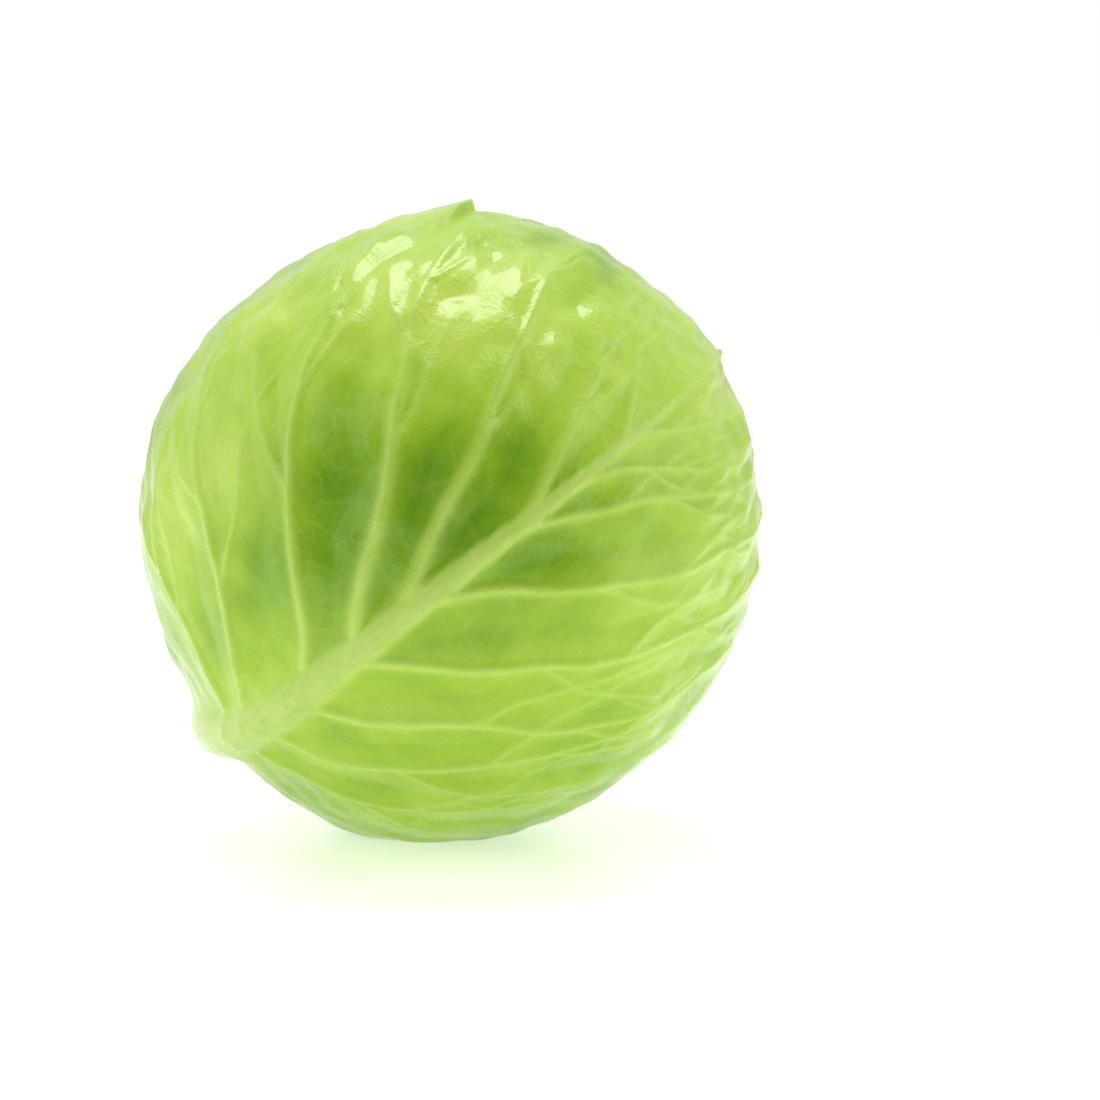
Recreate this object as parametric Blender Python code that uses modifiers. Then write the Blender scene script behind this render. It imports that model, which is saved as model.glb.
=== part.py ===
"""A head of cabbage lying on its side: a cut stump that runs on inside as the core, a tight heart at its tip,
and the cupped leaves that wrap them, each a thin shell inside the last one. Metres, +Z up. The origin is on the
surface the head rests on, straight below the head's centre."""

import math

import bmesh
import bpy
from mathutils import Vector

# The head
HEAD_RADIUS = 0.085
CENTRE_HEIGHT = 0.0845
AXIS_RISE = math.radians(44)  # how steeply the core climbs, from the stump to the crown
AXIS_TURN = math.radians(10)  # how far the stump's end is turned to the back, +Y
# Where the head is fuller or flatter than a ball: direction from the centre, share of the radius, spread
SWELLS = (
    ((-0.21, 0.0, -0.98), 0.058, math.radians(28)),
    ((0.80, 0.0, 0.60), 0.020, math.radians(22)),
    ((0.17, 0.0, 0.98), 0.016, math.radians(24)),
    ((-0.54, 0.0, 0.84), -0.030, math.radians(26)),
    ((-0.94, 0.0, -0.34), -0.020, math.radians(18)),
    ((0.20, 0.95, 0.10), -0.025, math.radians(40)),
)
FLOOR_BLEND = 0.0012  # height over which a leaf turns from round to flat where it meets the surface below

# The core, along the head's axis from its centre
CUT_END = -0.0860
CORE_TIP = -0.014
STUMP_RADIUS = 0.0150
NECK_RADIUS = 0.0125  # where the core passes the heart's lower end
CUT_CHAMFER = 0.0012
ROUND_FROM = 0.55  # share of the core's length at which its taper ends and its round tip begins
SEAT_GAP = 0.0007  # between the core and the heart, which grow together
CLASP_GAP = 0.0018  # between the core and a leaf's foot

# The leaves
LEAF_THICKNESS = 0.0015
WRAPPER_PITCH = 0.0033  # from one layer to the next
INNER_PITCH = 0.0031
INNER_LEAVES = 12
LEAF_CENTRE = math.radians(80)  # from the stump's pole to a leaf's middle
CROWDING = 1.6  # draws a leaf's mesh together along the foot of its midrib
WRAPPER_SEGMENTS = 18
INNER_SEGMENTS = (14, 13)  # for the outer leaves and for those nearer the heart
SMALL_LEAVES = 5  # the inner leaf from which the smaller number serves
LEAF_STEP = math.radians(137.5)  # from one leaf's midrib to the next, round the core
# Midribs' directions round the axis, from the front, and how far each leaf reaches from its middle:
# to its tip, to its sides, to the lobes beside its foot
WRAPPERS = (
    ("wrapper_leaf_front", math.radians(-2), (104, 101, 77)),
    ("wrapper_leaf_back", math.radians(124), (98, 99, 75)),
    ("wrapper_leaf_under", math.radians(240), (96, 98, 75)),
)
INNER_REACH = (94, 87, 78)
LOBES = 0.035  # depth of the waves in a leaf's outline, as a share of its reach

# The midrib that stands out of a wrapper leaf
RIB_HEIGHT = 0.0050
RIB_HALF_WIDTH = 0.0100
RIB_TIP_SHARE = 0.16  # of the height and width at the foot that is left at the tip
RIB_TAPER = 1.7

# How finely the turned pieces are made
ROUND_STEPS = 28
CORE_STEPS = 12
HEART_STEPS = 20
SOCKET_STEPS = 7

LEAF_GREEN = (0.42, 0.62, 0.14, 1.0)
INNER_GREEN = (0.72, 0.82, 0.38, 1.0)
HEART_YELLOW = (0.88, 0.86, 0.50, 1.0)
CORE_CREAM = (0.82, 0.86, 0.62, 1.0)

HEART_DEPTH = len(WRAPPERS) * WRAPPER_PITCH + INNER_LEAVES * INNER_PITCH
CENTRE = Vector((0, 0, CENTRE_HEIGHT))
LEVEL = math.cos(AXIS_RISE)
AXIS = Vector((LEVEL * math.cos(AXIS_TURN), -LEVEL * math.sin(AXIS_TURN), math.sin(AXIS_RISE)))
FRONT = Vector((0, -1, 0))
FRONT = (FRONT - FRONT.dot(AXIS) * AXIS).normalized()
SIDE = FRONT.cross(AXIS)


def clear_scene():
    for obj in list(bpy.data.objects):
        bpy.data.objects.remove(obj)


def material(name, colour, roughness):
    made = bpy.data.materials.new(name)
    made.use_nodes = True
    shader = made.node_tree.nodes["Principled BSDF"]
    shader.inputs["Base Color"].default_value = colour
    shader.inputs["Roughness"].default_value = roughness
    shader.inputs["Metallic"].default_value = 0.0
    return made


def head_radius(direction):
    """The outermost leaf's distance from the head's centre in this direction, where nothing flattens it."""
    swell = 0.0
    for towards, share, spread in SWELLS:
        angle = direction.angle(Vector(towards))
        swell += share * math.exp(-((angle / spread) ** 2))
    return HEAD_RADIUS * (1 + swell)


def on_floor(height, level):
    """Height, kept from going under level, with a soft turn where it meets it."""
    over = height - level
    if over >= FLOOR_BLEND:
        return height
    if over <= -FLOOR_BLEND:
        return level
    return level + (over + FLOOR_BLEND) ** 2 / (4 * FLOOR_BLEND)


def layer_point(direction, depth, proud=0.0):
    """The point of the layer at this depth under the head's outside, standing proud of it where a rib is. The
    layers grow rounder inwards, down to the heart's ball."""
    uneven = (head_radius(direction) - HEAD_RADIUS) * (1 - depth / HEART_DEPTH)
    point = CENTRE + direction * (HEAD_RADIUS - depth + uneven + proud)
    point.z = on_floor(point.z, depth)
    return point


def core_radius(along):
    """The core's radius at this place on the axis, from the stump's cut end to the round tip."""
    share = (along - CUT_END) / (CORE_TIP - CUT_END)
    taper = STUMP_RADIUS + (NECK_RADIUS - STUMP_RADIUS) * min(1.0, share / ROUND_FROM)
    rounding = max(0.0, (share - ROUND_FROM) / (1 - ROUND_FROM))
    return taper * math.sqrt(max(0.0, 1 - rounding**2))


def edge_reach(turn, reach, foot, wave):
    """The angle from a leaf's middle to its edge, turn being the bearing from the foot and foot the core's
    angular radius."""
    tip, side, lobe = (math.radians(angle) for angle in reach)
    towards_foot = math.cos(turn)
    end = lobe if towards_foot > 0 else tip
    found = side + (end - side) * towards_foot**2
    found *= 1 + LOBES * math.sin(3 * turn + wave) * math.sin(turn / 2) ** 2
    # Round the core the edge is an arc about the stump's pole
    near = math.sin(LEAF_CENTRE) * math.cos(turn)
    size = math.hypot(math.cos(LEAF_CENTRE), near)
    if near > 0 and math.cos(foot) < size:
        clasp = math.atan2(near, math.cos(LEAF_CENTRE)) - math.acos(math.cos(foot) / size)
        found = min(found, clasp)
    return found


def leaf_mesh(name, segments, midrib, reach, depth, wave, rib_height):
    """A leaf's outer face, a square grid laid over a disc that is wrapped round the head, and the thickness at
    each of its corners."""
    outward = math.cos(midrib) * FRONT + math.sin(midrib) * SIDE
    middle = -math.cos(LEAF_CENTRE) * AXIS + math.sin(LEAF_CENTRE) * outward
    to_tip = math.sin(LEAF_CENTRE) * AXIS + math.cos(LEAF_CENTRE) * outward
    across = AXIS.cross(outward)
    inner_radius = HEAD_RADIUS - depth
    foot = math.asin((core_radius(-inner_radius) + CLASP_GAP) / inner_radius)
    length = LEAF_CENTRE - foot + math.radians(reach[0])

    grid = bmesh.new()
    bmesh.ops.create_grid(grid, x_segments=segments, y_segments=segments, size=1.0)
    thickness = []
    for corner in grid.verts:
        u, v, _ = corner.co
        x = u * math.sqrt(1 - v * v / 2)
        y = v * math.sqrt(1 - u * u / 2)
        share = math.hypot(x, y)
        turn = math.atan2(x, -y)
        turn = math.copysign(math.pi * (abs(turn) / math.pi) ** CROWDING, turn)
        angle = share * edge_reach(turn, reach, foot, wave)
        heading = math.sin(turn) * across - math.cos(turn) * to_tip
        direction = math.cos(angle) * middle + math.sin(angle) * heading

        along = min(1.0, max(0.0, (LEAF_CENTRE - foot - angle * math.cos(turn)) / length))
        size = RIB_TIP_SHARE + (1 - RIB_TIP_SHARE) * (1 - along) ** RIB_TAPER
        aside = angle * math.sin(turn) * HEAD_RADIUS / (RIB_HALF_WIDTH * size)
        proud = rib_height * size * math.exp(-(aside**2))
        corner.co = layer_point(direction, depth, proud)
        thickness.append(LEAF_THICKNESS + proud)
    bmesh.ops.recalc_face_normals(grid, faces=grid.faces)
    some_face = next(iter(grid.faces))
    if some_face.normal.dot(some_face.calc_center_median() - CENTRE) < 0:
        bmesh.ops.reverse_faces(grid, faces=grid.faces)
    mesh = bpy.data.meshes.new(name)
    grid.to_mesh(mesh)
    grid.free()
    mesh.shade_smooth()
    return mesh, thickness


def make_leaf(name, look, collection, segments, midrib, reach, depth, wave, rib_height=0.0):
    mesh, thickness = leaf_mesh(name, segments, midrib, reach, depth, wave, rib_height)
    leaf = bpy.data.objects.new(name, mesh)
    collection.objects.link(leaf)
    mesh.materials.append(look)
    thickest = LEAF_THICKNESS + rib_height
    group = leaf.vertex_groups.new(name="thickness")
    for index, depth_here in enumerate(thickness):
        group.add([index], depth_here / thickest, "REPLACE")
    shell = leaf.modifiers.new("thickness", "SOLIDIFY")
    shell.thickness = thickest
    shell.offset = -1
    shell.vertex_group = group.name
    return leaf


def turned(name, profile, look, collection):
    """A solid turned about the head's axis, from (distance along it, radius) points that run down its outer side
    from the crown."""
    mesh = bpy.data.meshes.new(name)
    points = [(radius, 0, along) for along, radius in profile]
    mesh.from_pydata(points, [(i, i + 1) for i in range(len(points) - 1)], [])
    solid = bpy.data.objects.new(name, mesh)
    collection.objects.link(solid)
    mesh.materials.append(look)
    solid.location = CENTRE
    solid.rotation_mode = "QUATERNION"
    solid.rotation_quaternion = AXIS.to_track_quat("Z", "Y")
    spin = solid.modifiers.new("turn", "SCREW")
    spin.steps = ROUND_STEPS
    spin.render_steps = ROUND_STEPS
    spin.use_merge_vertices = True
    spin.merge_threshold = 0.00001
    return solid


def make_core(look, collection):
    tip_first = []
    for step in range(CORE_STEPS + 1):
        # Closer together at the tip, where the core rounds off
        share = 1 - (step / CORE_STEPS) ** 2
        along = CUT_END + CUT_CHAMFER + share * (CORE_TIP - CUT_END - CUT_CHAMFER)
        tip_first.append((along, core_radius(along)))
    cut = [(CUT_END, STUMP_RADIUS - CUT_CHAMFER), (CUT_END, 0.0)]
    return turned("core", tip_first + cut, look, collection)


def make_heart(radius, look, collection):
    """A ball with a socket in its lower side that the core's tip fills."""
    mouth = -radius
    for _ in range(8):  # where the ball meets the socket's wall
        mouth = -math.sqrt(radius**2 - (core_radius(mouth) + SEAT_GAP) ** 2)
    last = math.acos(mouth / radius)
    ball = []
    for step in range(HEART_STEPS + 1):
        angle = last * step / HEART_STEPS
        ball.append((radius * math.cos(angle), radius * math.sin(angle)))
    ball[0] = (radius, 0.0)
    socket = []
    for step in range(1, SOCKET_STEPS):
        share = 1 - (1 - step / SOCKET_STEPS) ** 2
        along = mouth + (CORE_TIP - mouth) * share
        socket.append((along, core_radius(along) + SEAT_GAP))
    socket.append((CORE_TIP + SEAT_GAP, 0.0))
    return turned("heart", ball + socket, look, collection)


def build():
    clear_scene()
    collection = bpy.data.collections.new("cabbage_head")
    bpy.context.scene.collection.children.link(collection)
    leaf_look = material("leaf_green", LEAF_GREEN, 0.45)
    inner_look = material("inner_leaf", INNER_GREEN, 0.5)
    heart_look = material("heart_leaf", HEART_YELLOW, 0.5)
    core_look = material("stump", CORE_CREAM, 0.6)

    make_core(core_look, collection)
    for layer, (name, midrib, reach) in enumerate(WRAPPERS):
        depth = layer * WRAPPER_PITCH
        make_leaf(name, leaf_look, collection, WRAPPER_SEGMENTS, midrib, reach, depth, layer, RIB_HEIGHT)
    midrib = WRAPPERS[-1][1]
    depth = len(WRAPPERS) * WRAPPER_PITCH
    for number in range(1, INNER_LEAVES + 1):
        midrib += LEAF_STEP
        name = f"inner_leaf_{number:02d}"
        segments = INNER_SEGMENTS[number >= SMALL_LEAVES]
        make_leaf(name, inner_look, collection, segments, midrib, INNER_REACH, depth, number)
        depth += INNER_PITCH
    make_heart(HEAD_RADIUS - HEART_DEPTH - SEAT_GAP, heart_look, collection)


build()
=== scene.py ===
"""The looks of a head of cabbage that lies on its side: veined, puckered wrapper leaves with thick pale
midribs, a cut stump, and a soft white studio. Metres, +Z up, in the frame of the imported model."""

import math

import bpy
import numpy as np
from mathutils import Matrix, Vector, noise


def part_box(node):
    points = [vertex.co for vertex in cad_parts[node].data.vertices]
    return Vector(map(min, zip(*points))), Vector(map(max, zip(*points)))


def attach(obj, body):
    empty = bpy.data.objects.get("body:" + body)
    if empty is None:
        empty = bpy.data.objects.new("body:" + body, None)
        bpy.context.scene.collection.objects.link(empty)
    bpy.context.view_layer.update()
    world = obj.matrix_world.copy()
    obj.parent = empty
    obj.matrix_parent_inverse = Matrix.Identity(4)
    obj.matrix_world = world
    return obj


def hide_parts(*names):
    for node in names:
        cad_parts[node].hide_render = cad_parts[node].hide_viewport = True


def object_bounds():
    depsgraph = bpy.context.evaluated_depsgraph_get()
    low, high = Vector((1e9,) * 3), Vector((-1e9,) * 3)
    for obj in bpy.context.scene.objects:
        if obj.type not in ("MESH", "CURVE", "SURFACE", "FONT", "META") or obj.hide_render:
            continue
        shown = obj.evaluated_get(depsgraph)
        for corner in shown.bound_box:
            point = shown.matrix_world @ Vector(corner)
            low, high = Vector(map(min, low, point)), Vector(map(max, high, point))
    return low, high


MM = 0.001
DEG = math.pi / 180

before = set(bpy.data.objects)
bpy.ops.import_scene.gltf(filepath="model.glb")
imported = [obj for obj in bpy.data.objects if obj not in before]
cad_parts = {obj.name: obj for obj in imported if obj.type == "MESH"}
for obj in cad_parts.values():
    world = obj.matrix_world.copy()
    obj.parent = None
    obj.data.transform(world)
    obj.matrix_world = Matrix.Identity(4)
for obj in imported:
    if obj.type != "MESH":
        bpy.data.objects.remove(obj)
cad_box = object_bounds()


def unit(vector):
    return vector / np.linalg.norm(vector)


# The head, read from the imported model: the heart is a ball at its centre, and the core is turned about AXIS
heart_low, heart_high = (np.array(corner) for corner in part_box("heart"))
CENTRE = (heart_low + heart_high) / 2
core_points = np.array([vertex.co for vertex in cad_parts["core"].data.vertices]) - CENTRE
AXIS = -unit(core_points.mean(axis=0))
CUT_END = -(core_points @ AXIS).min()
STUMP_RADIUS = np.linalg.norm(core_points - np.outer(core_points @ AXIS, AXIS), axis=1).max()
HEAD_RADIUS = (cad_box[1][2] - cad_box[0][2]) / 2
FRONT = np.array((0.0, -1.0, 0.0))
FRONT = unit(FRONT - FRONT @ AXIS * AXIS)
SIDE = np.cross(FRONT, AXIS)

# Where the head is fuller or flatter than a ball: direction from the centre, share of the radius, spread
SWELLS = (
    ((-0.21, 0.0, -0.98), 0.058, 28 * DEG),
    ((0.80, 0.0, 0.60), 0.020, 22 * DEG),
    ((0.17, 0.0, 0.98), 0.016, 24 * DEG),
    ((-0.54, 0.0, 0.84), -0.030, 26 * DEG),
    ((-0.94, 0.0, -0.34), -0.020, 18 * DEG),
    ((0.20, 0.95, 0.10), -0.025, 40 * DEG),
)
FLOOR_BLEND = 1.6 * MM  # over this height a leaf turns from round to flat where it meets the floor
LOWEST = 0.04 * MM  # no point of a leaf is lower
LAYER = 3.3 * MM  # from one leaf to the next one inside it
HEART_DEPTH = LAYER * 3 + 12 * 3.1 * MM  # the head's swells fade out towards this depth
UNCOVERED_RISE = 0.72  # share of a layer that a leaf comes up by where no other leaf lies over it
COVER_BLEND = 24 * MM  # beyond a margin the leaf under it comes up over this width
LEAF_THICKNESS = 0.8 * MM
FOOT_THICKNESS = 3.2 * MM  # of the snapped midrib's end

# A leaf is laid out flat before it is wrapped round the head: x runs across it and y to its tip, from a
# middle that is LEAF_CENTRE from the stump's pole. In degrees of arc where a place is typed, in metres where
# it is worked out
LEAF_CENTRE = 80 * DEG
ARC = HEAD_RADIUS * DEG  # metres of leaf to one degree
FOOT = 66  # from the leaf's middle down to its foot
CROWDING = 1.6  # how strongly the grid's bearings crowd towards the foot
LOBES = 0.035  # how far the margin's broad lobes swing, as a share of the reach
MARGIN_WAVE = 0.010  # and its small waves, in radians
LOBE_SHIFT = 2.1  # turns the lobes of one leaf from those of the last
CLASP_GAP = 0.5 * MM  # between the stump and the leaves' feet

# Leaf by leaf, from the outside in: its name, the CAD node it stands for, the midrib's place round the axis,
# and how far it reaches to the tip, the side and the lobe beside the foot
LEAVES = (
    ("front_leaf", "wrapper_leaf_front", -2, (104, 101, 77)),
    ("back_leaf", "wrapper_leaf_back", 124, (98, 99, 75)),
    ("under_leaf", "wrapper_leaf_under", 240, (96, 98, 75)),
    ("second_leaf_a", "inner_leaf_01", 17.5, (94, 87, 78)),
    ("second_leaf_b", "inner_leaf_02", 155, (94, 87, 78)),
    ("second_leaf_c", "inner_leaf_03", 292.5, (94, 87, 78)),
)
GRID_LINES = (190, 150, 150, 90, 90, 90)  # from a leaf's middle to its margin
RIM_RINGS = 4  # past the margin, where the leaf turns under
RIM_INWARD = (0, -0.3 * MM, 0.5 * MM, 2.0 * MM, 5.0 * MM)  # of the margin and of each of those rings
RIM_SINK = (0, 0.35, 1, 1, 0.9)  # how deep they lie, as a share of the thickness
LEAF_DEPTHS = (1.0, 1.35, 1.2, 0.5, 0.5, 0.5)  # how deep each leaf's green is

# The midrib: a lean below BEND_START and a bend to the right above it, its width at the foot and at the tip
BEND_START = -20
BEND_LENGTH = 97
MIDRIB_BEND = 15.0
MIDRIB_LEAN = 0.12
RIB_WIDTH = (17 * MM, 1.5 * MM)
RIB_TAPER = 1.7
RIB_HEIGHT = 0.27  # share of its width that it stands up by

# A side vein of the front leaf: where it leaves the midrib, its bearing from there at its start, middle and
# end, its length, all in degrees, and its width in millimetres
LEFT_VEINS = (
    (-43, (50, 84, 44), 64, 2.8),
    (-36, (42, 70, 46), 84, 3.0),
    (-19, (37, 56, 22), 94, 3.2),
    (-5, (33, 43, 30), 88, 4.2),
    (3, (12, 31, 6), 88, 3.6),
    (28, (4, 22, 4), 60, 2.8),
    (50, (14, 30, 8), 42, 1.8),
)
RIGHT_VEINS = (
    (-42, (80, 56, 36), 66, 2.8),
    (-33, (58, 48, 34), 84, 3.0),
    (-22, (46, 60, 32), 90, 3.2),
    (-8, (36, 56, 30), 92, 3.2),
    (8, (28, 54, 34), 84, 3.0),
    (27, (24, 50, 42), 62, 2.6),
    (39, (30, 50, 34), 52, 2.2),
    (54, (26, 46, 30), 38, 1.8),
)
LOWEST_VEIN, HIGHEST_VEIN = -44, 56  # the stretch of midrib that the other leaves' side veins leave from
VEIN_STEP = 2.2 * MM
VEIN_TAPER = 0.72  # share of its width that a vein loses by its end
VEIN_HEIGHT = 0.30  # share of a vein's width that it stands up by
VEIN_RIDGE, VEIN_LINE = 0.54, 0.50  # how far its ridge and its pale line spread, as shares of its width
NARROWEST = 1.5 * MM  # a narrower vein is spread this wide, so that the grid can hold it
BRANCH_WIDTH, TWIG_WIDTH = 0.5, 0.3  # beside the side vein's
SIDE_VEIN, BRANCH, TWIG = 1, 2, 3
VEIN_PALENESS = {SIDE_VEIN: 1.0, BRANCH: 0.75, TWIG: 0.5}
FAR_FROM_VEINS = 16 * MM
PANEL_DIP = 1.4 * MM  # how far the blade lies below the head's round between two veins
PANEL_WIDTH = 13 * MM

# A crease across the front leaf from one side vein to the next: its ends and its height
CREASE = ((-29, 27), (-14, 36), 1.3 * MM)
# A pleat that runs out to the front leaf's margin: its start, its way out, its length and height
PLEAT = ((-50, 56), (-0.70, 0.71), 27, 3.2 * MM)
# Where the front leaf's green is painted darker or lighter than the rest, partly its own tone and partly
# painted shade and light: place, size across and along, how much deeper
TONE_AND_SHADE_SPOTS = (
    ((-14, 6), 20, 19, 0.36),
    ((-25, -13), 11, 10, 0.28),
    ((-4, 30), 16, 18, 0.66),
    ((-44, -14), 16, 18, -0.35),
    ((-36, 52), 26, 22, -0.45),
    ((22, 74), 26, 20, -0.30),
    ((-64, 20), 16, 34, -0.25),
)


def smooth(low, high, value):
    share = np.clip((value - low) / (high - low), 0, 1)
    return share * share * (3 - 2 * share)


def waves(x, y, wavelength, seed, count=14):
    """A smooth uneven pattern from about -1 to 1, with crests about a wavelength apart."""
    draw = np.random.default_rng(seed)
    total = np.zeros_like(x)
    for _ in range(count):
        heading = draw.uniform(0, 2 * math.pi)
        step = 2 * math.pi / (wavelength * draw.uniform(0.7, 1.5))
        phase = draw.uniform(0, 2 * math.pi)
        total += np.sin((x * math.cos(heading) + y * math.sin(heading)) * step + phase)
    return total / math.sqrt(count)


# ---------------------------------------------------------------- the head's layers


def head_radius(directions):
    share = np.ones(len(directions))
    for towards, size, spread in SWELLS:
        angle = np.arccos(np.clip(directions @ unit(np.array(towards)), -1, 1))
        share += size * np.exp(-((angle / spread) ** 2))
    return HEAD_RADIUS * share


def on_floor(height, level):
    """Heights that settle softly on a level instead of going below it."""
    over = height - level
    blended = level + (over + FLOOR_BLEND) ** 2 / (4 * FLOOR_BLEND)
    return np.where(over >= FLOOR_BLEND, height, np.where(over <= -FLOOR_BLEND, level, blended))


def leaf_axes(midrib):
    """The ways from the head's centre to a leaf's middle, and from there across the leaf and to its tip."""
    outward = math.cos(midrib * DEG) * FRONT + math.sin(midrib * DEG) * SIDE
    middle = -math.cos(LEAF_CENTRE) * AXIS + math.sin(LEAF_CENTRE) * outward
    to_tip = math.sin(LEAF_CENTRE) * AXIS + math.cos(LEAF_CENTRE) * outward
    return middle, np.cross(AXIS, outward), to_tip


def edge_reach(turn, reach, wave):
    """The angle from a leaf's middle to its edge, in radians, turn being the bearing from the foot."""
    tip, side, lobe = (angle * DEG for angle in reach)
    foot = math.asin((STUMP_RADIUS + CLASP_GAP) / HEAD_RADIUS)
    ahead = np.cos(turn)
    found = side + (np.where(ahead > 0, lobe, tip) - side) * ahead**2
    clear_of_foot = np.sin(turn / 2) ** 2
    found = found * (1 + LOBES * np.sin(3 * turn + wave) * clear_of_foot)
    found += MARGIN_WAVE * clear_of_foot * (np.sin(11 * turn + 2 * wave) + 0.7 * np.sin(19 * turn + 5 * wave))
    near = math.sin(LEAF_CENTRE) * ahead
    size = np.hypot(math.cos(LEAF_CENTRE), near)
    met = (near > 0) & (math.cos(foot) < size)
    clasp = np.arctan2(near, math.cos(LEAF_CENTRE)) - np.arccos(np.clip(math.cos(foot) / size, -1, 1))
    return np.where(met, np.minimum(found, clasp), found)


def inside_margin(directions, number):
    """How far each direction is inside a leaf's margin, in metres; less than nothing outside it."""
    _, _, midrib, reach = LEAVES[number]
    middle, across, to_tip = leaf_axes(midrib)
    angle = np.arccos(np.clip(directions @ middle, -1, 1))
    turn = np.arctan2(directions @ across, -(directions @ to_tip))
    return (edge_reach(turn, reach, number * LOBE_SHIFT) - angle) * HEAD_RADIUS


# ---------------------------------------------------------------- veins


def midrib_x(y):
    beyond = y / ARC - BEND_START
    bend = np.clip(beyond / BEND_LENGTH, 0, None) ** 1.8
    return (MIDRIB_BEND * bend + MIDRIB_LEAN * np.minimum(beyond, 0)) * ARC


def vein_path(start_x, start_y, bearings, length, side, rng):
    """The points of a vein, in metres, and its bearing at each. side is -1 to the left and 1 to the right."""
    count = max(4, int(length * ARC / VEIN_STEP))
    share = np.linspace(0, 1, count)
    bearing = np.interp(share, (0, 0.4, 1), bearings) * DEG
    wobble = rng.uniform(0, 2 * math.pi, 2)
    bearing += 0.10 * np.sin(9 * share + wobble[0]) + 0.07 * np.sin(21 * share + wobble[1])
    step = length * ARC / (count - 1)
    x = start_x + side * np.concatenate(([0], np.cumsum(np.sin(bearing[:-1]) * step)))
    y = start_y + np.concatenate(([0], np.cumsum(np.cos(bearing[:-1]) * step)))
    return np.stack((x, y), 1), bearing


def side_veins(number, rng):
    """(side, start, bearings, length, width) of each side vein: as listed for the front leaf, and drawn by
    one rule for the others."""
    if number == 0:
        return [(-1, *vein) for vein in LEFT_VEINS] + [(1, *vein) for vein in RIGHT_VEINS]
    found = []
    for side in (-1, 1):
        start = LOWEST_VEIN + rng.uniform(0, 5)
        while start < HIGHEST_VEIN:
            share = (start - LOWEST_VEIN) / (HIGHEST_VEIN - LOWEST_VEIN)
            first = 56 - 40 * share + rng.uniform(-6, 6)
            bearings = (first, first + 18 + rng.uniform(-6, 8), 40 - 18 * share + rng.uniform(-6, 6))
            found.append((side, start, bearings, 84 - 40 * share, 3.4 - 1.6 * share))
            start += rng.uniform(8, 14) * (1 + 0.3 * share)
    return found


def all_veins(number):
    """Every drawn vein of a leaf: its points, its width at its start in metres, and its order, which is
    SIDE_VEIN, BRANCH or TWIG."""
    rng = np.random.default_rng(40 + number)
    veins = []
    for side, start, bearings, length, width in side_veins(number, rng):
        y = start * ARC
        points, bearing = vein_path(midrib_x(np.array(y)), y, bearings, length, side, rng)
        veins.append((points, width * MM, SIDE_VEIN))
        fork = rng.uniform(0.30, 0.42)
        swing = rng.choice((-1, 1))
        while fork < 0.9:
            at = int(fork * (len(points) - 1))
            away = bearing[at] / DEG + swing * rng.uniform(26, 40)
            turning = (away, away - swing * 12, away - swing * 26)
            branch_length = length * (1 - fork) * rng.uniform(0.45, 0.7)
            branch, heading = vein_path(*points[at], turning, branch_length, side, rng)
            veins.append((branch, width * MM * BRANCH_WIDTH, BRANCH))
            if branch_length > 12:
                middle = len(branch) // 2
                off = heading[middle] / DEG - swing * rng.uniform(35, 55)
                turning = (off, off, off + swing * 10)
                twig, _ = vein_path(*branch[middle], turning, branch_length * 0.5, side, rng)
                veins.append((twig, width * MM * TWIG_WIDTH, TWIG))
            fork += rng.uniform(0.13, 0.24)
            swing = -swing
    return veins


def draw_veins(veins, x, y):
    """Three patterns over the points x, y: how far veins stand up in metres, how pale they make the leaf from
    0 to 1, and the distance to the nearest side vein or branch."""
    height = np.zeros_like(x)
    pale = np.zeros_like(x)
    nearest = np.full_like(x, FAR_FROM_VEINS)
    for points, width, order in veins:
        widths = width * (1 - VEIN_TAPER * np.linspace(0, 1, len(points)) ** 1.1)
        reach = 3 * width if order == TWIG else FAR_FROM_VEINS
        low, high = points.min(0) - reach, points.max(0) + reach
        near = np.flatnonzero((x > low[0]) & (x < high[0]) & (y > low[1]) & (y < high[1]))
        for start, end, local_width in zip(points[:-1], points[1:], widths):
            middle = (start + end) / 2
            beside = np.abs(x[near] - middle[0]) < reach + 2 * MM
            beside &= np.abs(y[near] - middle[1]) < reach + 2 * MM
            here = near[beside]
            along = end - start
            offset_x, offset_y = x[here] - start[0], y[here] - start[1]
            share = np.clip((offset_x * along[0] + offset_y * along[1]) / (along @ along), 0, 1)
            distance = np.hypot(offset_x - share * along[0], offset_y - share * along[1])
            drawn_width = max(local_width, NARROWEST)
            ridge = np.exp(-((distance / (VEIN_RIDGE * drawn_width)) ** 2))
            height[here] = np.maximum(height[here], VEIN_HEIGHT * local_width * ridge)
            line = VEIN_PALENESS[order] * np.exp(-((distance / (VEIN_LINE * drawn_width)) ** 2))
            pale[here] = np.maximum(pale[here], line * (0.55 + 0.45 * local_width / width))
            if order != TWIG:
                nearest[here] = np.minimum(nearest[here], distance)
    return height, pale, nearest


def cells(x, y, size, seed):
    """The distance to the sides of uneven cells of that size, as a share of the size, for each point."""
    found = np.empty(len(x))
    warp_x = x + 0.18 * size * waves(x, y, 2.2 * size, seed)
    warp_y = y + 0.18 * size * waves(x, y, 2.2 * size, seed + 1)
    for index, point in enumerate(zip(warp_x / size, warp_y / size)):
        distances = noise.voronoi((point[0], point[1], seed * 7.3))[0]
        found[index] = distances[1] - distances[0]
    return found


# ---------------------------------------------------------------- leaves


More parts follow.
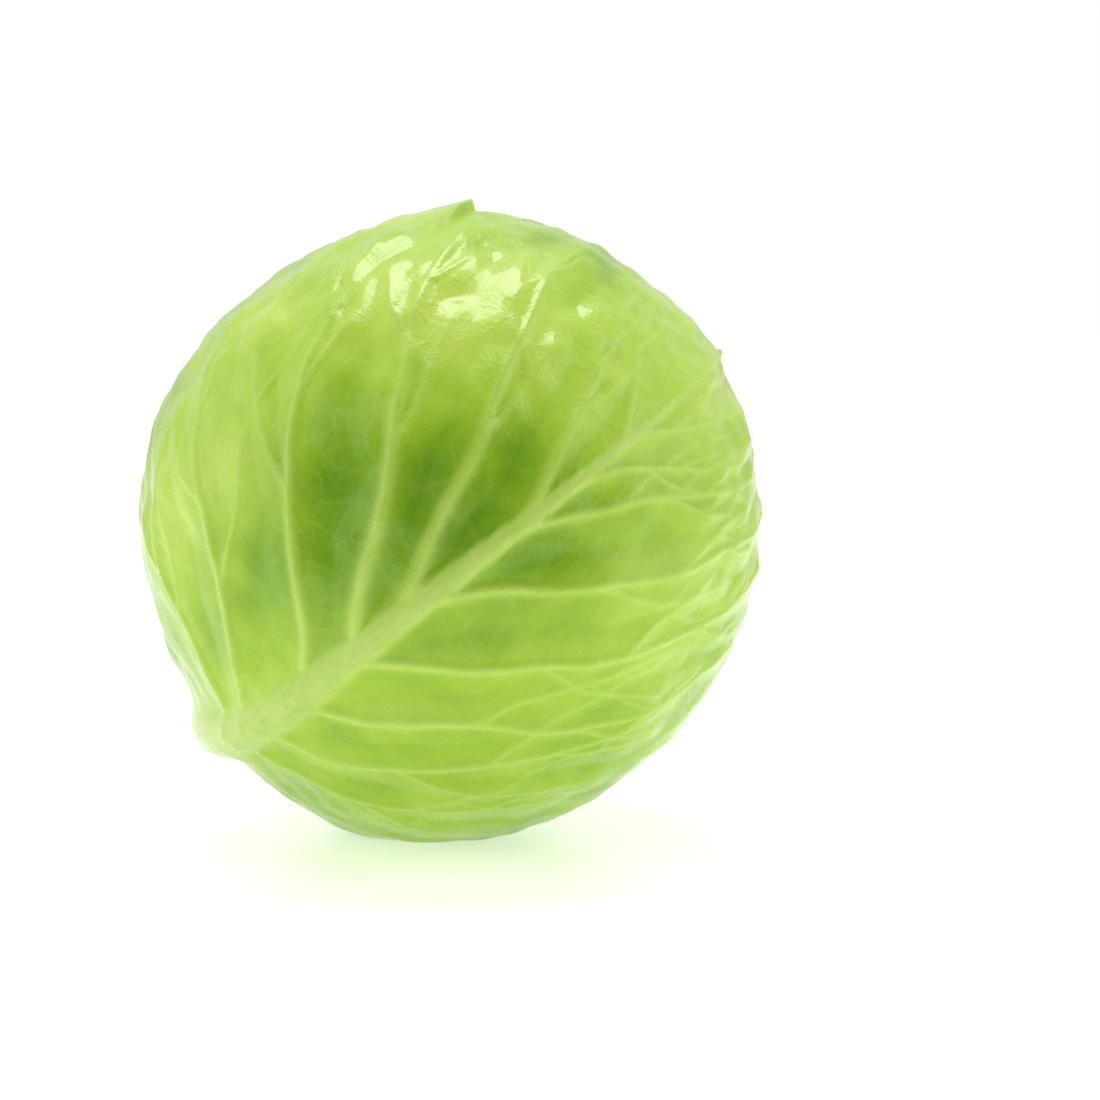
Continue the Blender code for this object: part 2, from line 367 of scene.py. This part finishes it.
def leaf_grid(lines):
    """A square grid over a disc, with RIM_RINGS more rings for the turned rim: x and y on the disc, the ring
    number past the margin, the map coordinates and the faces."""
    half = lines + RIM_RINGS
    column, row = np.meshgrid(np.arange(-half, half + 1), np.arange(-half, half + 1))
    column, row = column.ravel(), row.ravel()
    ring = np.maximum(np.abs(column), np.abs(row))
    past = np.maximum(ring - lines, 0)
    scale = np.maximum(ring, lines).astype(float)
    u, v = column / scale, row / scale
    x = u * np.sqrt(1 - v * v / 2)
    y = v * np.sqrt(1 - u * u / 2)
    chart = np.stack((column, row), 1) / (2 * half) + 0.5
    side = 2 * half + 1
    first = (np.arange(side - 1)[:, None] * side + np.arange(side - 1)[None, :]).ravel()
    faces = np.stack((first, first + 1, first + side + 1, first + side), 1)
    return x, y, past, chart, faces


def leaves_over(directions, number):
    """How many leaves lie over each point of a leaf, counting a part of one near its margin."""
    cover = np.zeros(len(directions))
    for outer in range(number):
        cover += smooth(-COVER_BLEND, -2 * MM, inside_margin(directions, outer))
    return cover


def leaf_relief(number, x, y, turn, to_edge):
    """How far each point of a leaf stands out from its layer, the leaf's thickness there, and the patterns
    that its colours follow."""
    tip = LEAVES[number][3][0]
    from_foot = np.clip((y / ARC + FOOT) / (FOOT + tip), 0, 1)
    rib_width = RIB_WIDTH[1] + (RIB_WIDTH[0] - RIB_WIDTH[1]) * (1 - from_foot) ** RIB_TAPER
    off_rib = np.abs(x - midrib_x(y))
    rib = np.exp(-((off_rib / (0.50 * rib_width)) ** 3.2))
    rib_height = rib_width * RIB_HEIGHT * rib

    # Between the veins the blade dips, with small cells and long waves in it
    height, pale, nearest = draw_veins(all_veins(number), x, y)
    nearest = np.minimum(nearest, np.maximum(off_rib - 0.4 * rib_width, 0))
    small = cells(x, y, 12 * MM, number + 1)
    panel = smooth(0, PANEL_WIDTH, nearest)
    blade = -PANEL_DIP * panel
    blade += 0.08 * MM * panel * (np.minimum(small, 0.5) / 0.5 - 0.5)
    blade += 0.45 * MM * waves(x, y, 34 * MM, 60 + number) + 0.16 * MM * waves(x, y, 13 * MM, 70 + number)

    # Towards its margin it thins, waves, and lies down on the leaf under it
    away_from_foot = smooth(12 * MM, 30 * MM, y + FOOT * ARC)
    near_edge = (1 - smooth(0, 16 * MM, to_edge)) * away_from_foot
    blade *= 1 - 0.6 * near_edge
    height *= 1 - 0.7 * near_edge
    blade -= 1.1 * MM * near_edge
    ruffle = 0.35 * MM * np.sin(13 * turn + number) + 0.25 * MM * waves(x, y, 18 * MM, 80 + number)
    blade += near_edge * ruffle
    if number == 0:
        blade += front_relief(x / ARC, y / ARC)

    foot = 1 - smooth(0, 14 * MM, np.maximum(off_rib - 0.3 * rib_width, 0))
    thickness = LEAF_THICKNESS + FOOT_THICKNESS * foot * (1 - away_from_foot)
    proud = np.maximum(rib_height, height) + blade * (1 - rib) + 0.3 * height
    patterns = {
        "vein": np.maximum(pale, smooth(0.15, 0.8, rib)),
        "rib": smooth(0.25, 1.0, rib) * (1 - 0.75 * from_foot),
        "edge": 1 - smooth(0, 3 * MM, to_edge),
        # depth: how deep the green is, with painted shade and light in it on the front leaf
        "depth": leaf_tone_and_shade(number, x / ARC, y / ARC, panel),
    }
    return proud, thickness, patterns


def wrap(directions, depth, proud, under):
    """The points of a leaf on the head, from its layer's depth and its relief, settled on the floor."""
    swollen = (head_radius(directions) - HEAD_RADIUS) * (1 - depth / HEART_DEPTH)
    radius = HEAD_RADIUS - depth + swollen + proud
    points = CENTRE + directions * radius[:, None]
    level = depth + 0.12 * (proud + under) + 0.7 * under
    points[:, 2] = on_floor(points[:, 2], np.maximum(level, LOWEST))
    return points


def build_leaf(number):
    name, node, midrib, reach = LEAVES[number]
    disc_x, disc_y, past, chart, faces = leaf_grid(GRID_LINES[number])
    share = np.hypot(disc_x, disc_y)
    turn = np.arctan2(disc_x, -disc_y)
    turn = np.sign(turn) * math.pi * (np.abs(turn) / math.pi) ** CROWDING
    margin = edge_reach(turn, reach, number * LOBE_SHIFT)
    angle = share * margin - np.array(RIM_INWARD)[past] / HEAD_RADIUS
    x = angle * np.sin(turn) * HEAD_RADIUS
    y = -angle * np.cos(turn) * HEAD_RADIUS
    to_edge = (1 - np.minimum(share, 1)) * margin * HEAD_RADIUS

    middle, across, to_tip = leaf_axes(midrib)
    heading = np.sin(turn)[:, None] * across - np.cos(turn)[:, None] * to_tip
    directions = np.cos(angle)[:, None] * middle + np.sin(angle)[:, None] * heading
    cover = leaves_over(directions, number)
    depth = LAYER * (number - UNCOVERED_RISE * (number - cover))
    proud, thickness, patterns = leaf_relief(number, x, y, turn, to_edge)
    under = thickness * np.array(RIM_SINK)[past]
    proud = proud * (1 - 0.7 * np.minimum(cover, 1)) - under
    points = wrap(directions, depth, proud, under)

    mesh = bpy.data.meshes.new(name)
    mesh.from_pydata(points.tolist(), [], faces.tolist())
    mesh.shade_smooth()
    lay_chart(mesh, chart)
    give(mesh, "flat", np.stack((x, y, np.full(len(x), number * 1.0)), 1), "FLOAT_VECTOR")
    for pattern, values in patterns.items():
        give(mesh, pattern, values)
    leaf = bpy.data.objects.new(name, mesh)
    bpy.context.scene.collection.objects.link(leaf)
    face_outward(mesh)
    mesh.materials.append(leaf_material(name))
    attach(leaf, "root")
    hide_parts(node)


def lay_chart(mesh, chart):
    layer = mesh.uv_layers.new(name="OFBake")
    corners = np.empty(len(mesh.loops), int)
    mesh.loops.foreach_get("vertex_index", corners)
    layer.uv.foreach_set("vector", chart[corners].astype(np.float32).ravel())


def give(mesh, name, values, kind="FLOAT"):
    attribute = mesh.attributes.new(name, kind, "POINT")
    field = "vector" if kind == "FLOAT_VECTOR" else "value"
    attribute.data.foreach_set(field, np.asarray(values, np.float32).ravel())


def face_outward(mesh):
    """Turns a mesh's faces over where most of them look at the head's centre."""
    count = len(mesh.polygons)
    normals = np.empty(count * 3, np.float32)
    centres = np.empty(count * 3, np.float32)
    mesh.polygons.foreach_get("normal", normals)
    mesh.polygons.foreach_get("center", centres)
    outward = centres.reshape(-1, 3) - CENTRE
    if ((normals.reshape(-1, 3) * outward).sum(1) > 0).mean() < 0.5:
        mesh.flip_normals()


def front_relief(x, y):
    """The crease and the pleat of the front leaf."""
    (start_x, start_y), (end_x, end_y), crease_height = CREASE
    length = math.hypot(end_x - start_x, end_y - start_y)
    way_x, way_y = (end_x - start_x) / length, (end_y - start_y) / length
    along = ((x - start_x) * way_x + (y - start_y) * way_y) / length
    beside = (y - start_y) * way_x - (x - start_x) * way_y
    within = smooth(-0.25, 0.1, along) * (1 - smooth(0.9, 1.3, along))
    relief = crease_height * within * np.exp(-np.sqrt((beside / 7) ** 2 + 0.02))

    (start_x, start_y), (way_x, way_y), length, pleat_height = PLEAT
    along = ((x - start_x) * way_x + (y - start_y) * way_y) / length
    beside = (x - start_x) * -way_y + (y - start_y) * way_x
    beside = -beside + 1.2 * np.sin(along * 5)
    rise = np.where(beside < 0, np.exp(-np.abs(beside / 9)), 1 - smooth(0, 1.6, beside))
    return relief + pleat_height * smooth(-0.1, 1.0, along) * rise


def leaf_tone_and_shade(number, x, y, panel):
    """How deep a leaf's green is, from 0 to 1; on the front leaf it also holds painted shade and light."""
    tone_and_shade = 0.42 + 0.10 * waves(x, y, 45, 90 + number) + 0.07 * waves(x, y, 16, 95 + number)
    # On the front leaf, spots that are partly its own darker and lighter green and partly painted shade and
    # light
    if number == 0:
        for (spot_x, spot_y), wide, long, deeper in TONE_AND_SHADE_SPOTS:
            tone_and_shade += deeper * np.exp(-(((x - spot_x) / wide) ** 2) - ((y - spot_y) / long) ** 2)
    else:
        tone_and_shade += 0.22 * waves(x, y, 60, 99 + number)
    tone_and_shade *= 0.72 + 0.28 * panel
    tone_and_shade *= LEAF_DEPTHS[number]
    return np.clip(tone_and_shade, 0, 1)


# ---------------------------------------------------------------- materials


def linear(red, green, blue):
    """A colour given as 8-bit screen values, as a shader takes it."""
    channels = (value / 255 for value in (red, green, blue))
    return (*(c / 12.92 if c <= 0.04045 else ((c + 0.055) / 1.055) ** 2.4 for c in channels), 1.0)


def ramp(nodes, *stops):
    node = nodes.new("ShaderNodeValToRGB")
    elements = node.color_ramp.elements
    elements[0].position, elements[0].color = stops[0]
    elements[1].position, elements[1].color = stops[-1]
    for position, colour in stops[1:-1]:
        elements.new(position).color = colour
    return node


def grey(value):
    return (value, value, value, 1.0)


class Graph:
    """A material's nodes, with short ways to add and join them."""

    def __init__(self, name):
        self.material = bpy.data.materials.new(name)
        self.material.use_nodes = True
        self.nodes = self.material.node_tree.nodes
        self.links = self.material.node_tree.links
        self.shader = self.nodes["Principled BSDF"]

    def add(self, kind, **settings):
        node = self.nodes.new("ShaderNode" + kind)
        for name, value in settings.items():
            setattr(node, name, value)
        return node

    def join(self, source, target):
        self.links.new(source, target)

    def attribute(self, name, output="Fac"):
        return self.add("Attribute", attribute_name=name).outputs[output]

    def math(self, operation, first, second=None, clamp=False):
        node = self.add("Math", operation=operation, use_clamp=clamp)
        for socket, value in zip(node.inputs, (first, second)):
            if isinstance(value, (int, float)):
                socket.default_value = value
            elif value is not None:
                self.join(value, socket)
        return node.outputs[0]

    def mix(self, share, first, second, blend="MIX"):
        node = self.add("Mix", data_type="RGBA", blend_type=blend)
        for socket, value in ((node.inputs[0], share), (node.inputs[6], first), (node.inputs[7], second)):
            if isinstance(value, (int, float, tuple)):
                socket.default_value = value
            else:
                self.join(value, socket)
        return node.outputs[2]

    def noise(self, vector, scale, detail=3.0, roughness=0.55):
        node = self.add("TexNoise")
        node.inputs["Scale"].default_value = scale
        node.inputs["Detail"].default_value = detail
        node.inputs["Roughness"].default_value = roughness
        self.join(vector, node.inputs["Vector"])
        return node.outputs[0]

    def voronoi_edge(self, vector, scale):
        node = self.add("TexVoronoi", feature="DISTANCE_TO_EDGE")
        node.inputs["Scale"].default_value = scale
        self.join(vector, node.inputs["Vector"])
        return node.outputs["Distance"]

    def ramp(self, value, *stops):
        node = ramp(self.nodes, *stops)
        self.join(value, node.inputs[0])
        return node.outputs[0]

    def bump(self, height, distance, strength, normal=None):
        node = self.add("Bump")
        node.inputs["Distance"].default_value = distance
        node.inputs["Strength"].default_value = strength
        self.join(height, node.inputs["Height"])
        if normal is not None:
            self.join(normal, node.inputs["Normal"])
        return node.outputs[0]


PALE_TO_DEEP = (
    (0.0, linear(184, 212, 80)),
    (0.35, linear(157, 194, 44)),
    (0.65, linear(123, 166, 16)),
    (1.0, linear(88, 134, 3)),
)
NET, FINE_NET, SPECKLE = linear(180, 210, 84), linear(170, 200, 90), linear(104, 148, 34)
VEIN_COLOURS = (0.3, linear(174, 207, 80)), (0.7, linear(190, 218, 100))
RIB_COLOURS = (0.3, linear(170, 196, 88)), (0.7, linear(188, 209, 112))
FIBRE, MARGIN = linear(150, 184, 66), linear(184, 208, 104)
NET_SCALE, FINE_NET_SCALE = 105.0, 330.0  # cells to a metre


def leaf_material(name):
    """A waxy leaf: a mottled blade with a fine net in it, paler veins, a fibrous midrib and a pale margin."""
    graph = Graph(name)
    flat = graph.attribute("flat", "Vector")
    vein = graph.attribute("vein")
    rib = graph.attribute("rib")
    edge = graph.attribute("edge")
    tone_and_shade = graph.attribute("depth")

    warp = graph.add("TexNoise")
    warp.inputs["Scale"].default_value = 160.0
    graph.join(flat, warp.inputs["Vector"])
    bent = graph.add("VectorMath", operation="MULTIPLY_ADD")
    graph.join(warp.outputs["Color"], bent.inputs[0])
    bent.inputs[1].default_value = (0.0035, 0.0035, 0.0)
    graph.join(flat, bent.inputs[2])
    net = graph.voronoi_edge(bent.outputs[0], NET_SCALE)
    fine_net = graph.voronoi_edge(bent.outputs[0], FINE_NET_SCALE)
    net_line = graph.ramp(net, (0.0, grey(1)), (0.10, grey(0)))
    fine_line = graph.ramp(fine_net, (0.0, grey(1)), (0.14, grey(0)))
    mottle = graph.noise(flat, 90.0, 4.0)
    speckle = graph.noise(flat, 900.0, 2.0)

    # The blade: pale to deep green, mottled, with a faint paler net; on the front leaf its depth of green
    # holds painted shade and light as well as its own tone
    deeper = graph.math("ADD", tone_and_shade, graph.math("MULTIPLY", graph.math("SUBTRACT", mottle, 0.5), 0.35))
    blade = graph.ramp(deeper, *PALE_TO_DEEP)
    blade = graph.mix(graph.math("MULTIPLY", net_line, 0.08), blade, NET)
    blade = graph.mix(graph.math("MULTIPLY", fine_line, 0.07), blade, FINE_NET)
    speckled = graph.math("MULTIPLY", graph.math("SUBTRACT", speckle, 0.5), 0.25)
    blade = graph.mix(graph.math("ABSOLUTE", speckled), blade, SPECKLE)

    vein_colour = graph.ramp(mottle, *VEIN_COLOURS)
    rib_colour = graph.ramp(mottle, *RIB_COLOURS)
    surface = graph.mix(graph.math("MULTIPLY", vein, 0.88), blade, vein_colour)
    lengthwise = graph.add("VectorMath", operation="MULTIPLY")
    graph.join(flat, lengthwise.inputs[0])
    lengthwise.inputs[1].default_value = (1.0, 0.07, 1.0)
    fibres = graph.noise(lengthwise.outputs[0], 1100.0, 3.0, 0.6)
    fibre_line = graph.ramp(fibres, (0.42, grey(0)), (0.66, grey(1)))
    rib_colour = graph.mix(graph.math("MULTIPLY", fibre_line, 0.35), rib_colour, FIBRE)
    surface = graph.mix(rib, surface, rib_colour)
    surface = graph.mix(graph.math("MULTIPLY", edge, 0.6), surface, MARGIN)
    graph.join(surface, graph.shader.inputs["Base Color"])

    smoothness = graph.noise(flat, 60.0, 3.0)
    roughness = graph.ramp(smoothness, (0.3, grey(0.22)), (0.7, grey(0.36)))
    graph.join(roughness, graph.shader.inputs["Roughness"])
    graph.shader.inputs["Specular IOR Level"].default_value = 0.20
    graph.shader.inputs["Coat Weight"].default_value = 0.25
    graph.shader.inputs["Coat Roughness"].default_value = 0.06
    graph.shader.inputs["Sheen Weight"].default_value = 0.05

    drawn_out = graph.add("VectorMath", operation="MULTIPLY")
    graph.join(flat, drawn_out.inputs[0])
    drawn_out.inputs[1].default_value = (1.0, 2.6, 1.0)
    wrinkles = graph.noise(drawn_out.outputs[0], 330.0, 4.0, 0.65)
    not_vein = graph.math("SUBTRACT", 1.0, vein, clamp=True)
    grooves = graph.math("MULTIPLY", net_line, not_vein)
    normal = graph.bump(wrinkles, 0.35 * MM, 0.4)
    normal = graph.bump(grooves, 0.12 * MM, 0.5, normal)
    normal = graph.bump(fine_line, 0.08 * MM, 0.5, normal)
    normal = graph.bump(graph.math("MULTIPLY", fibre_line, rib), 0.2 * MM, 0.5, normal)
    graph.join(normal, graph.shader.inputs["Normal"])
    return graph.material


def stump_material():
    graph = Graph("cut_stump")
    place = graph.add("TexCoord").outputs["Object"]
    fibres = graph.noise(place, 700.0, 4.0, 0.7)
    broad = graph.noise(place, 110.0, 3.0)
    rim = graph.attribute("rim")
    flesh = graph.ramp(broad, (0.3, linear(214, 220, 160)), (0.7, linear(236, 236, 196)))
    dry = graph.ramp(fibres, (0.3, linear(168, 150, 92)), (0.7, linear(206, 196, 136)))
    surface = graph.mix(graph.math("MULTIPLY", rim, 0.75), flesh, dry)
    surface = graph.mix(graph.math("MULTIPLY", fibres, 0.25), surface, linear(190, 176, 116))
    surface = graph.mix(graph.attribute("green"), surface, linear(150, 182, 70))
    graph.join(surface, graph.shader.inputs["Base Color"])
    graph.join(graph.ramp(broad, (0.3, grey(0.5)), (0.7, grey(0.68))), graph.shader.inputs["Roughness"])
    graph.join(graph.bump(fibres, 0.5 * MM, 0.6), graph.shader.inputs["Normal"])
    return graph.material


def hidden_leaf_material(name, pale, deep):
    """For the leaves deep in the head."""
    graph = Graph(name)
    place = graph.add("TexCoord").outputs["Object"]
    mottle = graph.noise(place, 80.0, 4.0)
    net = graph.ramp(graph.voronoi_edge(place, 110.0), (0.0, grey(1)), (0.08, grey(0)))
    surface = graph.ramp(mottle, (0.3, pale), (0.7, deep))
    surface = graph.mix(graph.math("MULTIPLY", net, 0.4), surface, linear(238, 240, 206))
    graph.join(surface, graph.shader.inputs["Base Color"])
    graph.join(graph.ramp(mottle, (0.3, grey(0.38)), (0.7, grey(0.5))), graph.shader.inputs["Roughness"])
    graph.join(graph.bump(net, 0.3 * MM, 0.5), graph.shader.inputs["Normal"])
    return graph.material


# ---------------------------------------------------------------- stump, studio and camera


FACE_RINGS, SPOKES = 26, 96
EDGE_RINGS = 3  # round the cut edge
SIDE_RINGS = 6  # from there down to under the leaves' feet
SIDE_LENGTH = 16 * MM
CUT_HEIGHT = 0.5 * MM  # how far the face rises to its middle
COLLAR = 17 * MM  # how far the side flares out under the feet


def stump_point(ring, bearing):
    """(along, radius) of a point of the stump, from the head's centre and from the axis."""
    outline = STUMP_RADIUS * (0.97 + 0.03 * math.sin(3 * bearing + 0.8) + 0.015 * math.sin(7 * bearing))
    if ring < FACE_RINGS:
        radius = outline * (ring + 0.15) / FACE_RINGS * 0.95
        domed = 0.15 * MM * math.sin(radius / STUMP_RADIUS * 9)
        along = -CUT_END - domed + CUT_HEIGHT * (ring / FACE_RINGS) ** 6
        place = Vector((radius * math.cos(bearing), radius * math.sin(bearing), 0))
        along += 0.35 * MM * noise.noise(place * 260)
        knife_marks = math.sin(radius * math.cos(bearing + 0.6) / (0.5 * MM))
        return along + 0.25 * MM * knife_marks, radius
    step = ring - FACE_RINGS + 1
    radius = outline * (1 - 0.05 * (1 - min(step, EDGE_RINGS) / EDGE_RINGS) ** 2)
    along = -CUT_END + CUT_HEIGHT + min(step, EDGE_RINGS) * 0.4 * MM
    behind = max(0, step - EDGE_RINGS) / SIDE_RINGS
    radius += -0.8 * MM * behind + COLLAR * max(0, behind - 0.62) ** 0.8
    return along + behind * SIDE_LENGTH, radius


def build_stump():
    """The cut end of the stump: a slightly domed, knife-marked face and its side, which turns green."""
    u = unit(np.cross(AXIS, (0.0, 0.0, 1.0)))
    v = np.cross(AXIS, u)
    rings = FACE_RINGS + EDGE_RINGS + SIDE_RINGS
    points, rim, green, faces = [], [], [], []
    for ring in range(rings):
        for spoke in range(SPOKES):
            bearing = 2 * math.pi * spoke / SPOKES
            along, radius = stump_point(ring, bearing)
            place = CENTRE + AXIS * along + (u * math.cos(bearing) + v * math.sin(bearing)) * radius
            points.append(place.tolist())
            rim.append(min(1.0, (radius / STUMP_RADIUS) ** 5))
            green.append(float(np.clip((ring - FACE_RINGS - EDGE_RINGS + 1) / 3, 0, 1)))
    for ring in range(rings - 1):
        for spoke in range(SPOKES):
            following = (spoke + 1) % SPOKES
            here, out = ring * SPOKES, (ring + 1) * SPOKES
            faces.append((here + spoke, out + spoke, out + following, here + following))
    faces.append(tuple(range(SPOKES)))
    mesh = bpy.data.meshes.new("cut_stump")
    mesh.from_pydata(points, [], faces)
    mesh.shade_smooth()
    give(mesh, "rim", rim)
    give(mesh, "green", green)
    stump = bpy.data.objects.new("cut_stump", mesh)
    bpy.context.scene.collection.objects.link(stump)
    face_outward(mesh)
    mesh.materials.append(stump_material())
    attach(stump, "root")
    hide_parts("core")


def dress_hidden_nodes():
    """The leaves and the heart that no one sees keep their CAD shape, with their own finish."""
    replaced = {leaf[1] for leaf in LEAVES} | {"core"}
    inner = hidden_leaf_material("pale_inner_leaf", linear(214, 226, 150), linear(232, 234, 184))
    heart = hidden_leaf_material("yellow_heart_leaf", linear(236, 226, 150), linear(244, 240, 196))
    for name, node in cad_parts.items():
        if name in replaced:
            continue
        node.data.materials.clear()
        node.data.materials.append(heart if name == "heart" else inner)


FLOOR_HALF = 6.0
FLOOR_WHITE, FLOOR_GLOW = 0.90, 0.47
# Each light's place, size and watts
SOFTBOXES = {
    "left_softbox": ((-1.05, -0.38, 0.50), (1.2, 1.0), 4.7),
    "top_softbox": ((0.02, 0.22, 1.15), (0.60, 0.50), 7.6),
    "right_softbox": ((1.1, -0.25, 0.50), (0.8, 0.9), 3.6),
    "back_softbox": ((0.1, 1.2, 0.7), (1.6, 0.8), 0.5),
}
# How bright the surroundings are, from the front at 0 to the back at 1
SURROUNDINGS = (0.0, grey(0.20)), (0.22, grey(0.32)), (0.5, grey(0.80)), (1.0, grey(0.68))


def facing(way):
    """The rotation of a light or camera that looks that way."""
    return Vector(way).to_track_quat("-Z", "Y").to_euler()


def white_floor():
    half = FLOOR_HALF
    corners = [(-half, -half, 0), (half, -half, 0), (half, half, 0), (-half, half, 0)]
    mesh = bpy.data.meshes.new("floor")
    mesh.from_pydata(corners, [], [(0, 1, 2, 3)])
    floor = bpy.data.objects.new("floor", mesh)
    bpy.context.scene.collection.objects.link(floor)
    graph = Graph("white_floor")
    graph.shader.inputs["Base Color"].default_value = grey(FLOOR_WHITE)
    graph.shader.inputs["Roughness"].default_value = 0.22
    graph.shader.inputs["Emission Color"].default_value = grey(1)
    graph.shader.inputs["Emission Strength"].default_value = FLOOR_GLOW
    graph.shader.inputs["Specular IOR Level"].default_value = 0.25
    mesh.materials.append(graph.material)


def softboxes():
    for name, (place, (width, height), watts) in SOFTBOXES.items():
        light = bpy.data.lights.new(name, "AREA")
        light.shape = "RECTANGLE"
        light.size, light.size_y = width, height
        light.energy = watts
        lamp = bpy.data.objects.new(name, light)
        lamp.location = place
        lamp.rotation_euler = facing(Vector(CENTRE.tolist()) - lamp.location)
        bpy.context.scene.collection.objects.link(lamp)


def surroundings():
    """As a light, brighter behind the head than in front of it; plain white where they are seen directly."""
    world = bpy.data.worlds.new("studio")
    bpy.context.scene.world = world
    world.use_nodes = True
    nodes, links = world.node_tree.nodes, world.node_tree.links
    light = nodes["Background"]
    direction = nodes.new("ShaderNodeTexCoord")
    split = nodes.new("ShaderNodeSeparateXYZ")
    links.new(direction.outputs["Generated"], split.inputs[0])
    shade = ramp(nodes, *SURROUNDINGS)
    share = nodes.new("ShaderNodeMath")
    share.operation = "MULTIPLY_ADD"
    links.new(split.outputs["Y"], share.inputs[0])
    share.inputs[1].default_value = 0.5
    share.inputs[2].default_value = 0.5
    links.new(share.outputs[0], shade.inputs[0])
    links.new(shade.outputs[0], light.inputs[0])

    seen = nodes.new("ShaderNodeLightPath")
    backdrop = nodes.new("ShaderNodeBackground")
    backdrop.inputs[0].default_value = grey(1.0)
    either = nodes.new("ShaderNodeMixShader")
    links.new(seen.outputs["Is Camera Ray"], either.inputs[0])
    links.new(light.outputs[0], either.inputs[1])
    links.new(backdrop.outputs[0], either.inputs[2])
    links.new(either.outputs[0], nodes["World Output"].inputs[0])


def camera():
    """Nearly level with the head, which stands left of the middle of the view and a little above it."""
    elevation = 6 * DEG
    distance = 705 * MM
    head_left, head_above = 27.2 * MM, 7.6 * MM
    lens = bpy.data.cameras.new("camera")
    lens.lens, lens.sensor_width = 84.9, 36.0

    ahead = np.array((0, math.cos(elevation), -math.sin(elevation)))
    up = np.array((0, math.sin(elevation), math.cos(elevation)))
    place = CENTRE - (np.array((-head_left, 0, 0)) + up * head_above + ahead * distance)
    viewer = bpy.data.objects.new("camera", lens)
    viewer.location = place.tolist()
    viewer.rotation_euler = facing(ahead.tolist())
    bpy.context.scene.collection.objects.link(viewer)
    bpy.context.scene.camera = viewer


for leaf_number in range(len(LEAVES)):
    build_leaf(leaf_number)
build_stump()
dress_hidden_nodes()
white_floor()
softboxes()
surroundings()
camera()
bpy.context.scene.view_settings.view_transform = "Standard"
